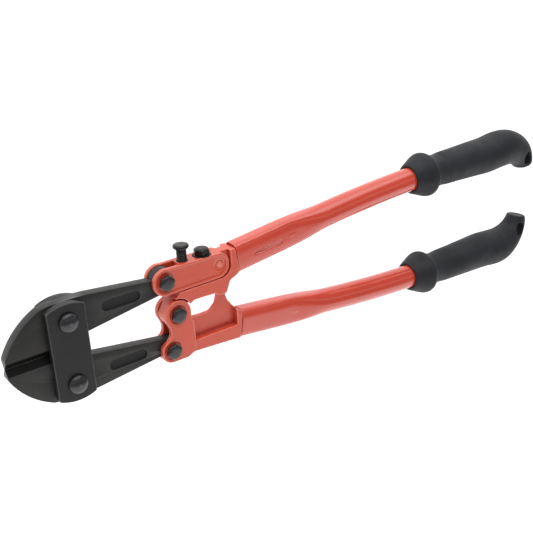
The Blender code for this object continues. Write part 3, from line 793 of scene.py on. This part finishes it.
def lock_bolt():
    """Hexagon bolt down through the saddle's web into the casting."""
    base = SADDLE_TOP - LOCK_RECESS + GAP + WASHER_THICKNESS + GAP
    head = hex_head("lock_bolt_head", LOCK_ACROSS, 0.0, LOCK_HEIGHT, (0.0, 0.0), 10)
    combine(head, [rod(REAR_SHANK, -15.0, 0.5)], "UNION")
    head.data.transform(Matrix.Translation((LOCK_X, base, 0.0)) @ Matrix.Rotation(-math.pi / 2, 4, "X"))
    return crisp(give(head, DARK_BOLT), 40)


def lock_washer():
    """Plain washer with a rounded rim, in the saddle's recess."""
    low = SADDLE_TOP - LOCK_RECESS + GAP
    thick = WASHER_THICKNESS
    outline = [(3.1, thick), (5.4, thick), (5.75, thick - 0.15), (5.9, thick / 2), (5.9, 0.0), (3.1, 0.0)]
    turns = [2 * math.pi * i / 96 for i in range(96)]
    rows = [[(LOCK_X + r * math.cos(a), low + h, r * math.sin(a)) for a in turns] for r, h in outline]
    return crisp(give(grid("washer_ring", rows, closed=True), DARK_BOLT), 40)


# ---------------------------------------------------------------- tubes and grips

def ease(value, low, high):
    """0 below low, 1 above high, and a smooth rise between."""
    t = min(max((value - low) / (high - low), 0.0), 1.0)
    return t * t * (3 - 2 * t)


def tube_shape(x):
    """Half height, half depth and squareness of the tube at x; the flat ends in a shallow dip."""
    share = ease(x, FLAT_END_X, ROUND_START_X)
    dip = 0.35 * math.exp(-((x - 166.0) / 7.0) ** 2)
    high = FLAT_HEIGHT + (TUBE_RADIUS - FLAT_HEIGHT) * share
    deep = FLAT_DEPTH + (TUBE_RADIUS - FLAT_DEPTH) * share - dip
    return high, deep, 4.0 - 2.0 * share


def tube_ring(x, thinner, side):
    """The tube's section at x, taken in by some millimetres."""
    high, deep, power = tube_shape(x)
    return section(x, high - thinner, deep - thinner, power, side, 168)


def tube(name, side):
    """Open tube: finely divided over the flat and the dent, with a softened front edge."""
    stations = list(np.arange(SEAM_X, 164.0, 0.5)) + list(np.arange(164.0, 200.0, 1.0))
    stations += list(np.arange(200.0, TUBE_END_X + 0.1, 4.0))
    rows = [tube_ring(SEAM_X, 0.25, side)]
    for x in stations[1:]:
        rows.append([slot_dent(p, side) for p in tube_ring(x, 0.0, side)])
    for x in (TUBE_END_X, 330.0, 270.0, 200.0, SEAM_X + 1.0):
        rows.append(tube_ring(x, TUBE_WALL, side))
    return crisp(give(grid(name, rows, closed=True), TUBE_RED), 50)


def slot_dent(point, side):
    """Long pressed dent on the front of the upper tube."""
    x, y, z = point
    if side < 0 or z < 0:
        return point
    start = Vector((135.4, 24.5))
    end = Vector((154.6, 26.6))
    along = (end - start).normalized()
    offset = Vector((x, y)) - start
    t = min(max(offset.dot(along), 0.0), (end - start).length)
    away = (offset - along * t).length
    deepest = 1.1
    return (x, y, z - deepest * (1 - ease(away, 0.7, 1.7)))


def grip_spine(shortfall):
    """(x, y, heading, half width in the tool's plane, half depth); the hook bends back by the shortfall."""
    longer = 1.3 if shortfall else -0.7
    body = (
        (277.0, 10.6), (278.2, 11.3), (283.5, 13.7), (288.6, 15.9), (290.6, 16.42), (292.4, 16.4),
        (294.2, 15.7), (296.6, 13.9), (300.0, 12.5), (304.0, 12.0), (307.6, 12.05), (310.4, 12.45),
        (325.0, 12.9), (341.0, 13.5), (357.0, 14.1),
    )
    hook = (
        (HOOK_START_X, 41.6, 0, 14.4, 14.2), (382.0, 41.0, -12, 14.0, 13.2), (390.5, 38.0, -30, 12.8, 11.8),
        (396.8, 33.8, -46, 11.4, 10.4), (401.05, 28.6, -HOOK_TURN, 9.8, 9.0),
        (403.2, 23.5 - longer / 2, -73, 8.2, 7.9), (403.5, 21.7 - longer, -78, 7.2, 7.2),
    )
    stations = []
    for x, radius in body:
        heading = math.degrees(math.atan(tube_line(x + 0.5) - tube_line(x - 0.5)))
        stations.append((x, tube_line(x), heading, radius, radius))
    for x, y, heading, half_width, half_depth in hook:
        share = min(max((x - HOOK_START_X) / (HOOK_MIDDLE_X - HOOK_START_X), 0.0), 1.0)
        stations.append((x - shortfall * share, y, heading, half_width, half_depth))
    return stations


def smooth_rows(stations, steps):
    """Centripetal Catmull-Rom curve through the stations, several steps to each stretch."""
    pts = np.array(stations, float)
    pts = np.vstack([2 * pts[0] - pts[1], pts, 2 * pts[-1] - pts[-2]])
    rows = []
    for i in range(1, len(pts) - 2):
        p0, p1, p2, p3 = pts[i - 1 : i + 3]
        lengths = [max(np.linalg.norm((b - a)[:2]), 1e-6) ** 0.5 for a, b in ((p0, p1), (p1, p2), (p2, p3))]
        t0 = 0.0
        t1 = lengths[0]
        t2 = t1 + lengths[1]
        t3 = t2 + lengths[2]
        for k in range(steps):
            t = t1 + (t2 - t1) * k / steps
            a1 = (t1 - t) / (t1 - t0) * p0 + (t - t0) / (t1 - t0) * p1
            a2 = (t2 - t) / (t2 - t1) * p1 + (t - t1) / (t2 - t1) * p2
            a3 = (t3 - t) / (t3 - t2) * p2 + (t - t2) / (t3 - t2) * p3
            b1 = (t2 - t) / (t2 - t0) * a1 + (t - t0) / (t2 - t0) * a2
            b2 = (t3 - t) / (t3 - t1) * a2 + (t - t1) / (t3 - t1) * a3
            rows.append((t2 - t) / (t2 - t1) * b1 + (t - t1) / (t2 - t1) * b2)
    rows.append(pts[-2])
    return rows


def grip(name, side):
    """Rubber grip bored for its tube, with a slot-shaped hanging hole through the hook."""
    count = 72
    shortfall = LOWER_HOOK_SHORTFALL if side < 0 else 0.0
    rows = []
    for x, y, heading, width, depth in smooth_rows(grip_spine(shortfall), 6):
        across = Vector((-math.sin(math.radians(heading)), math.cos(math.radians(heading))))
        row = []
        for i in range(count):
            a = 2 * math.pi * i / count
            reach = width * math.cos(a)
            row.append((x + across.x * reach, (y + across.y * reach) * side, depth * math.sin(a)))
        rows.append(row)
    bore_radius = TUBE_RADIUS + GAP
    bore_stations = (270.0, 277.0, 290.0, 330.0, 360.0, TUBE_END_X + 1.0)
    bore = grid("bore", [section(x, bore_radius, bore_radius, 2.0, side, 64) for x in bore_stations])
    heading = -HOOK_TURN * side
    along = Vector((math.cos(math.radians(heading)), math.sin(math.radians(heading))))
    centre = Vector((399.2 - shortfall, 30.4 * side))
    slot_radius = 3.8
    slot_reach = 1.9
    loop = []
    for end, start in ((1, -90), (-1, 90)):
        middle = tuple(centre + along * slot_reach * end)
        loop += arc(middle, slot_radius, start + heading, start + 180 + heading)
    piece = combine(grid(name, rows), [bore, plate("hanging_hole", [loop], -20, 20)])
    return give(soften(piece, 0.5, 3), RUBBER)


# ---------------------------------------------------------------- assembly

def build():
    settle(jaw("upper_blade", 1, SADDLE_BOLT_ROOM), "upper_jaw", "forged_steel", "upper_jaw")
    settle(jaw("lower_blade", -1, REAR_BORE), "lower_jaw", "forged_steel", "lower_jaw")
    settle(strap("strap_plate_front", STRAP_IN, STRAP_OUT), "straps", "strap_steel", "front_strap")
    settle(strap("strap_plate_back", -STRAP_OUT, -STRAP_IN), "straps", "strap_steel", "back_strap")
    for label, side in (("upper", 1), ("lower", -1)):
        centre = (JAW_PIVOT[0], JAW_PIVOT[1] * side)
        settle(jaw_bolt(f"{label}_dome", centre), "straps", "fastener_steel", f"{label}_jaw_bolt")
        nut = hex_nut(f"{label}_back_nut", centre, JAW_NUT_ACROSS, JAW_BORE, -STRAP_OUT - GAP, JAW_NUT_HEIGHT)
        settle(nut, "straps", "fastener_steel", f"{label}_jaw_nut")
    rear = (("upper_rear", REAR_PIVOT, "adjuster"), ("lower_rear", LOWER_REAR, "lower_handle"),
            ("centre", CENTRE_PIVOT, "lower_handle"))
    for label, centre, body in rear:
        face = SADDLE_OUT if body == "adjuster" else EAR_OUT
        settle(rear_bolt(f"{label}_hex", centre, face), body, "fastener_steel", f"{label}_bolt")
        nut = hex_nut(f"{label}_hex_nut", centre, REAR_ACROSS, REAR_BORE, -face - GAP, REAR_NUT_HEIGHT)
        settle(nut, body, "fastener_steel", f"{label}_nut")
    settle(upper_casting(), "upper_handle", "red_enamel", "upper_casting")
    settle(lower_casting(), "lower_handle", "red_enamel", "lower_casting")
    settle(saddle(), "adjuster", "red_enamel", "adjuster_saddle")
    settle(rivet(), "upper_handle", "red_enamel", "saddle_rivet")
    settle(adjusting_screw(), "adjusting_screw", "fastener_steel", "adjusting_screw")
    settle(lock_bolt(), "lock_bolt", "fastener_steel", "lock_bolt")
    settle(lock_washer(), "lock_bolt", "fastener_steel", "lock_washer")
    for label, side in (("upper", 1), ("lower", -1)):
        settle(tube(f"{label}_handle_tube", side), f"{label}_handle", "red_enamel", f"{label}_tube")
        settle(grip(f"{label}_handle_grip", side), f"{label}_handle", "grip_rubber", f"{label}_grip")


# ---------------------------------------------------------------- stage

def camera():
    """Camera above the adjuster's side and ahead of the jaws, looking back along the handles."""
    right = Vector((0.81235, -0.05093, 0.58094))
    up = Vector((0.27681, 0.91049, -0.30724))
    back = Vector((-0.51329, 0.41039, 0.75373))
    place = (Vector((-170.375, 262.447, 465.957)) + SHIFT) * MM
    data = bpy.data.cameras.new("camera")
    data.lens = 61.86
    data.sensor_width = 36.0
    data.clip_start = 0.01
    data.clip_end = 20.0
    eye = bpy.data.objects.new("camera", data)
    bpy.context.scene.collection.objects.link(eye)
    eye.matrix_world = Matrix((
        (right.x, up.x, back.x, place.x),
        (right.y, up.y, back.y, place.y),
        (right.z, up.z, back.z, place.z),
        (0, 0, 0, 1),
    ))
    bpy.context.scene.camera = eye


def floor():
    """Plain pale floor, lit from within so that it stays white."""
    mesh = bpy.data.meshes.new("floor")
    work = bmesh.new()
    bmesh.ops.create_grid(work, x_segments=1, y_segments=1, size=6.0)
    work.to_mesh(mesh)
    work.free()
    piece = link("floor", mesh)
    material, _, shade = shader("floor_white")
    shade.inputs["Base Color"].default_value = (0.38, 0.38, 0.38, 1)
    shade.inputs["Roughness"].default_value = 0.9
    shade.inputs["Emission Color"].default_value = (1, 1, 1, 1)
    shade.inputs["Emission Strength"].default_value = 1.0
    give(piece, material)


def sky():
    """Studio by height along y: a bright table, a dim room with one strip light, and a softbox above."""
    world = bpy.data.worlds.new("studio")
    bpy.context.scene.world = world
    world.use_nodes = True
    tree = world.node_tree
    where = tree.nodes.new("ShaderNodeTexCoord")
    split = tree.nodes.new("ShaderNodeSeparateXYZ")
    tree.links.new(where.outputs["Generated"], split.inputs["Vector"])
    height = tree.nodes.new("ShaderNodeMath")
    height.operation = "MULTIPLY_ADD"
    height.inputs[1].default_value = 0.5
    height.inputs[2].default_value = 0.5
    tree.links.new(split.outputs["Y"], height.inputs[0])
    brightest = 4.0
    room = 0.22
    strip = 0.85
    softbox = 2.6
    stops = [
        (0.0, 1.65), (0.275, 1.58), (0.345, room), (0.56, room), (0.60, strip), (0.64, strip),
        (0.68, room), (0.83, room), (0.89, softbox), (1.0, softbox),
    ]
    light = grey(tree, height.outputs[0], [(place, level / brightest) for place, level in stops])
    background = tree.nodes["Background"]
    background.inputs["Strength"].default_value = brightest
    tree.links.new(light, background.inputs["Color"])


def view_settings():
    scene = bpy.context.scene
    scene.view_settings.view_transform = "Standard"
    scene.view_settings.look = "None"
    scene.view_settings.exposure = 0.0


camera()
floor()
sky()
view_settings()
build()
